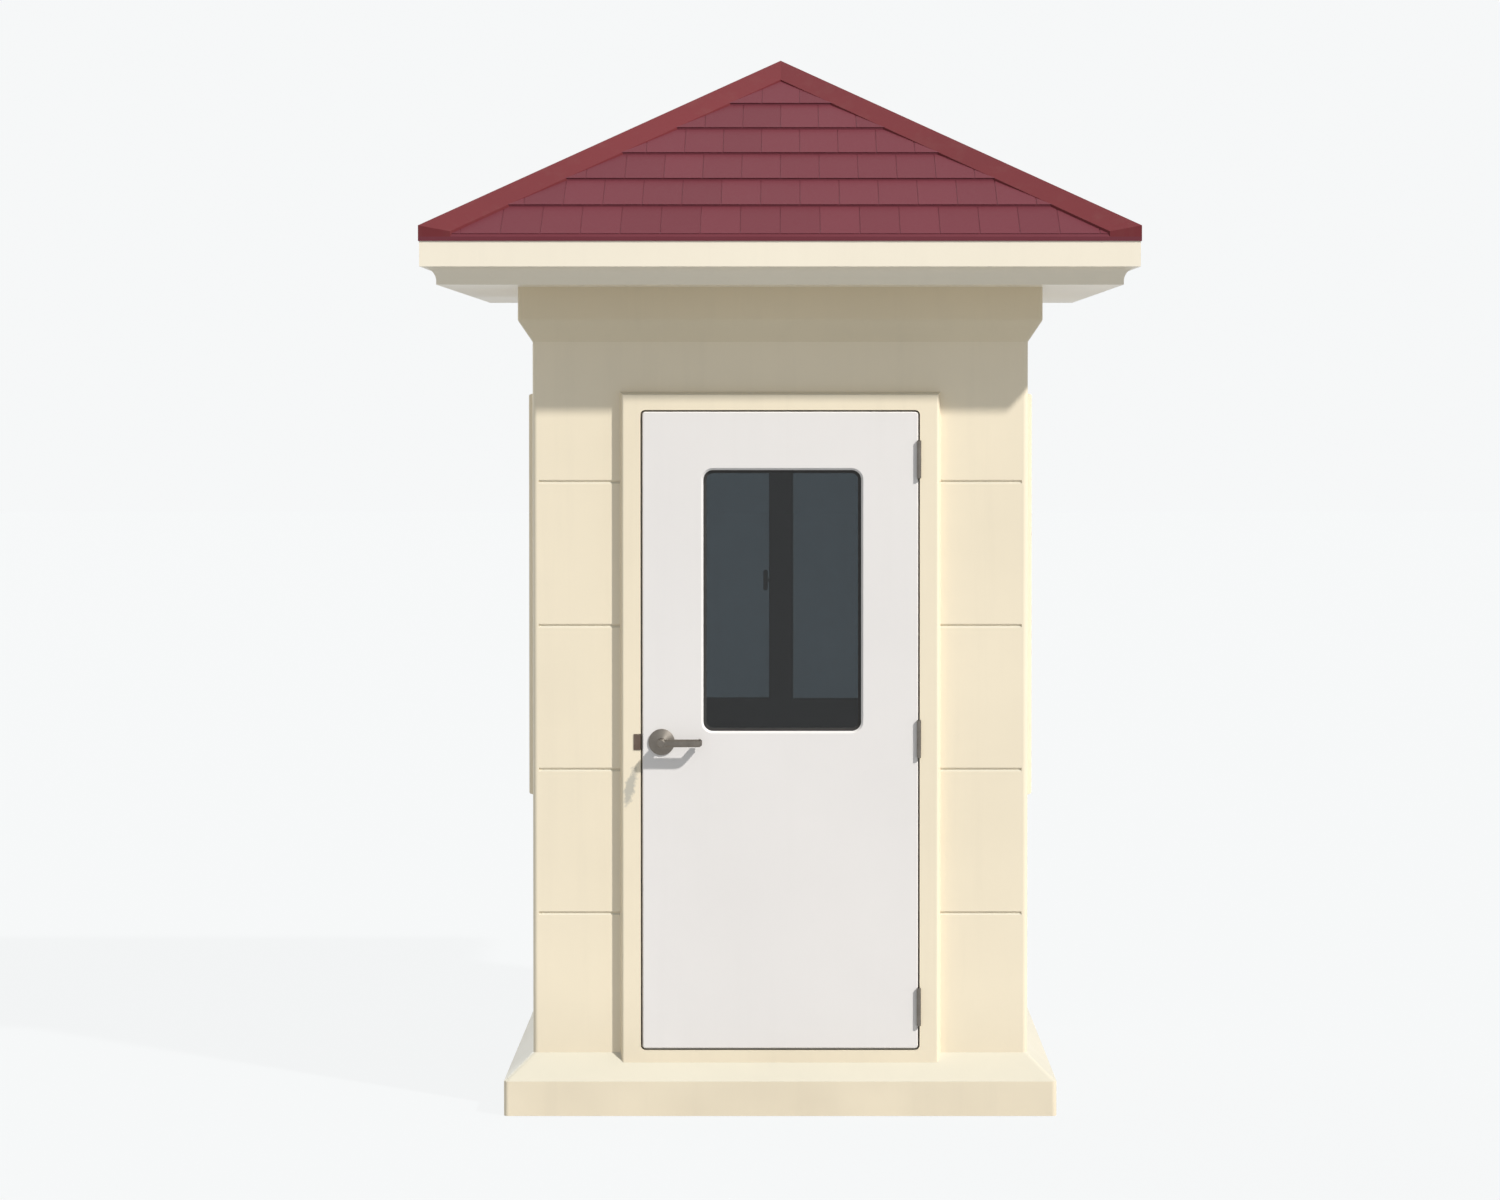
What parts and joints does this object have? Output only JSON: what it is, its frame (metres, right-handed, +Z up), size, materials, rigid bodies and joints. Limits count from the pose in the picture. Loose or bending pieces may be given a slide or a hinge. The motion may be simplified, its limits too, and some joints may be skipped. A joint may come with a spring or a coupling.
{
  "type": "guard_booth",
  "caption": "Security guard booth: a square moulded hut on a sloping plinth, with a hipped red roof, a glazed hinged door and sliding windows.",
  "frame": {"origin": "on the ground under the middle of the booth, which is the middle of the box's bottom", "axes": "+Z up, -Y out of the front wall with the door, +X to the right of someone facing the door"},
  "size_m": [2.044, 2.044, 3.12],
  "materials": {
    "cream_gelcoat": "moulded fibreglass gelcoat, low gloss",
    "white_panel": "smooth white fibreglass skin",
    "red_shingle": "moulded shingle courses in dull red gelcoat",
    "red_cap": "smooth dull red gelcoat",
    "dark_frame": "dark powder-coated aluminium sections",
    "tinted_glass": "grey tinted sheet glass",
    "black_rubber": "extruded glazing rubber",
    "satin_steel": "satin stainless steel",
    "floor_board": "sealed plywood deck"
  },
  "bodies": {
    "booth": {"base_skirt": "cream_gelcoat", "floor_deck": "floor_board", "front_wall_left": "cream_gelcoat", "front_wall_right": "cream_gelcoat", "front_wall_head": "cream_gelcoat", "left_wall": "cream_gelcoat", "right_wall": "cream_gelcoat", "back_wall": "cream_gelcoat", "door_surround": "cream_gelcoat", "left_window_surround": "cream_gelcoat", "right_window_surround": "cream_gelcoat", "back_window_surround": "cream_gelcoat", "left_window_frame": "dark_frame", "right_window_frame": "dark_frame", "back_window_frame": "dark_frame", "left_window_sashes": "dark_frame", "right_window_sashes": "dark_frame", "back_window_sashes": "dark_frame", "left_window_glass": "tinted_glass", "right_window_glass": "tinted_glass", "back_window_glass": "tinted_glass", "window_catches": "dark_frame", "collar": "cream_gelcoat", "cornice": "cream_gelcoat", "ceiling_panel": "white_panel", "front_roof_slope": "red_shingle", "right_roof_slope": "red_shingle", "back_roof_slope": "red_shingle", "left_roof_slope": "red_shingle", "front_left_hip_cap": "red_cap", "front_right_hip_cap": "red_cap", "back_right_hip_cap": "red_cap", "back_left_hip_cap": "red_cap", "strike_plate": "satin_steel", "hinge_frame_leaves": "satin_steel"},
    "door": {"door_leaf": "white_panel", "door_glass": "tinted_glass", "door_gasket": "black_rubber", "outer_rose": "satin_steel", "inner_rose": "satin_steel", "latch_plate": "satin_steel", "hinge_door_leaves": "satin_steel"},
    "lever": {"outer_lever": "satin_steel", "inner_lever": "satin_steel"}
  },
  "joints": [
    {"name": "door_hinge", "type": "hinge", "parent": "booth", "child": "door", "pos_m": [0.4025, -0.7545, 1.112], "axis": [0, 0, 1], "range_deg": [0, 170]},
    {"name": "lever_turn", "type": "hinge", "parent": "door", "child": "lever", "pos_m": [-0.344, -0.728, 1.079], "axis": [0, 1, 0], "range_deg": [0, 45], "stiffness_Nm_per_rad": 1, "springref_deg": -28.65}
  ]
}
